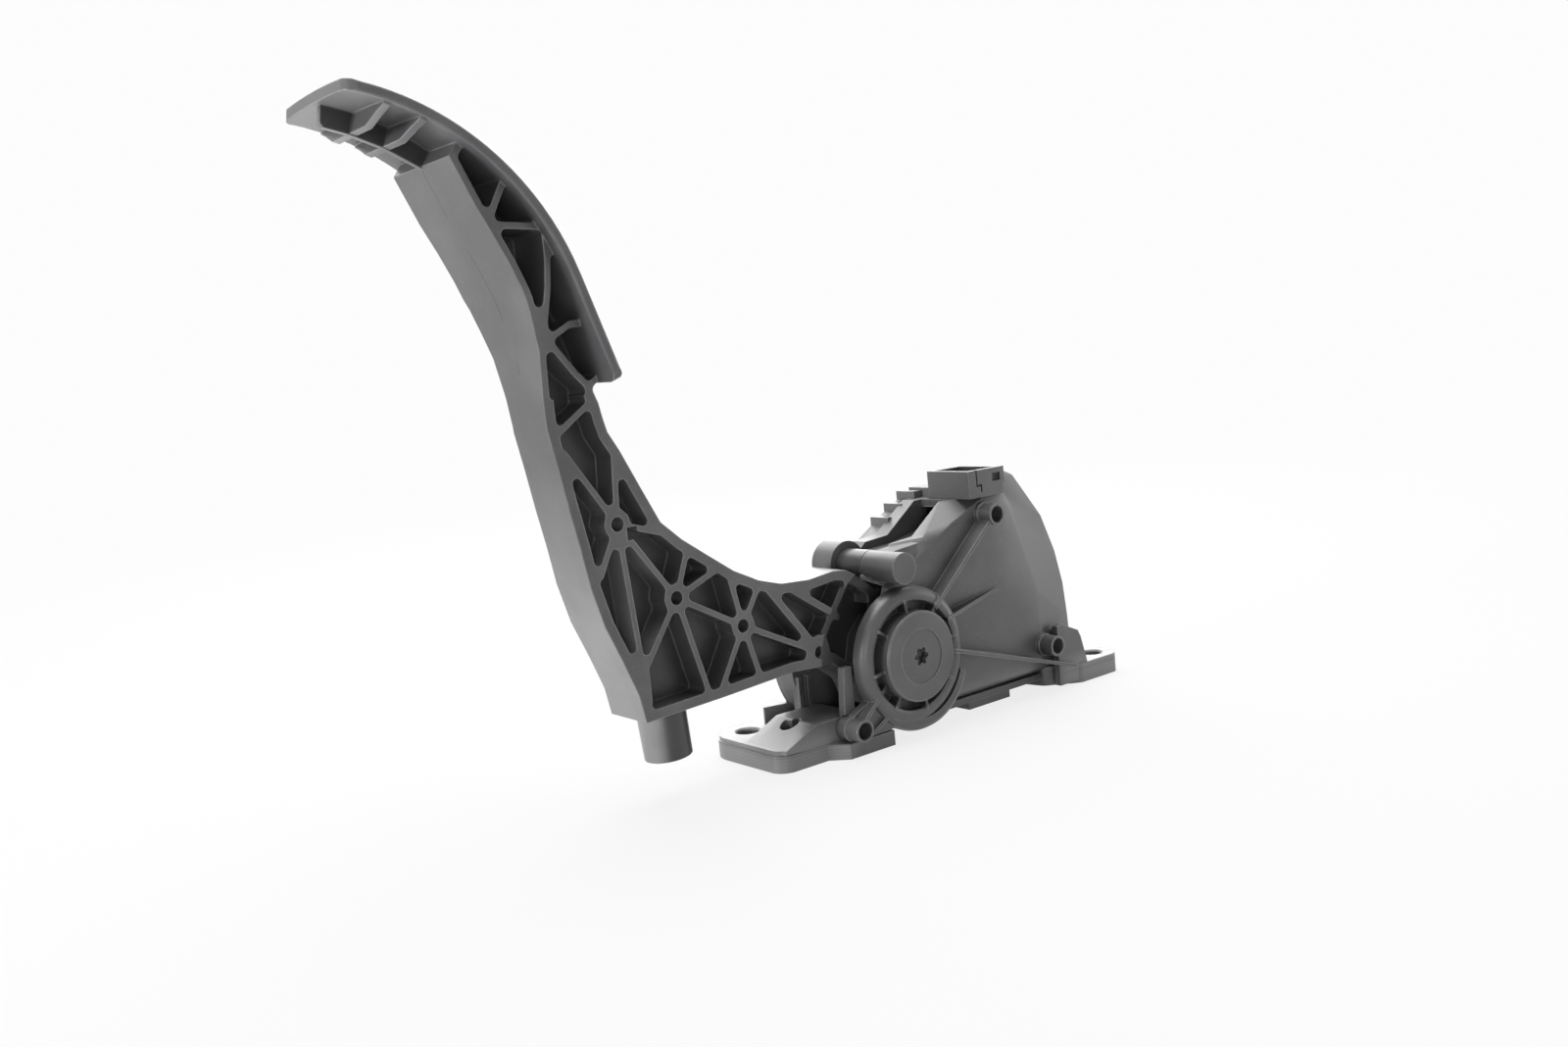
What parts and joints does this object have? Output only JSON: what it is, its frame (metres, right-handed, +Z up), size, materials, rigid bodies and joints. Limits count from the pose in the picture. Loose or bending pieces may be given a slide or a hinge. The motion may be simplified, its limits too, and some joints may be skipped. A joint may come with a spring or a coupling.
{
  "type": "accelerator pedal module",
  "caption": "Floor-mounted accelerator pedal: one-piece ribbed arm with foot pad and heel peg, hinged in a moulded housing with return springs, friction lever and position sensor.",
  "frame": {"origin": "centre of the front bolt hole, in the plane of the mounting face", "axes": "+X runs along the module from the foot pad's end towards the rear foot, +Y across it from the side cover towards the sensor lid, +Z up from the mounting face"},
  "size_m": [0.2529, 0.0473, 0.1854],
  "materials": {
    "housing_plastic": "satin moulded plastic",
    "cover_plastic": "satin moulded plastic",
    "arm_plastic": "satin moulded glass-filled plastic",
    "bearing_plastic": "satin moulded plastic",
    "lid_plastic": "satin moulded plastic",
    "lever_plastic": "satin moulded plastic",
    "connector_plastic": "satin moulded plastic",
    "bush_plastic": "natural slippery plastic",
    "lining": "pressed friction material",
    "steel": "ground steel",
    "dark_steel": "black-finished steel",
    "spring_steel": "drawn spring wire",
    "rubber": "moulded rubber",
    "board": "lacquered laminate",
    "chip": "moulded package",
    "contact": "plated brass",
    "magnet": "sintered ferrite"
  },
  "bodies": {
    "housing": {"housing": "housing_plastic", "side_cover": "cover_plastic", "cover_screws": "dark_steel", "near_bearing": "bearing_plastic", "far_bearing": "bush_plastic", "outer_spring": "spring_steel", "inner_spring": "spring_steel", "friction_lever": "lever_plastic", "friction_lining": "lining", "lever_pin": "steel", "idle_stop": "rubber", "circuit_board": "board", "sensor_chips": "chip", "sensor_cover": "lid_plastic", "sensor_seal": "rubber", "connector_housing": "connector_plastic", "connector_pins": "contact"},
    "pedal": {"pedal_arm": "arm_plastic", "pivot_shaft": "steel", "thrust_washers": "steel", "retaining_ring": "spring_steel", "sensor_rotor": "bush_plastic", "rotor_magnet": "magnet"}
  },
  "joints": [
    {"name": "pedal_press", "type": "hinge", "parent": "housing", "child": "pedal", "pos_m": [0.0385, -0.01825, 0.0255], "axis": [0, -1, 0], "range_deg": [0, 7], "stiffness_Nm_per_rad": 21, "springref_deg": -7.16, "deforming": ["outer_spring", "inner_spring"]}
  ]
}
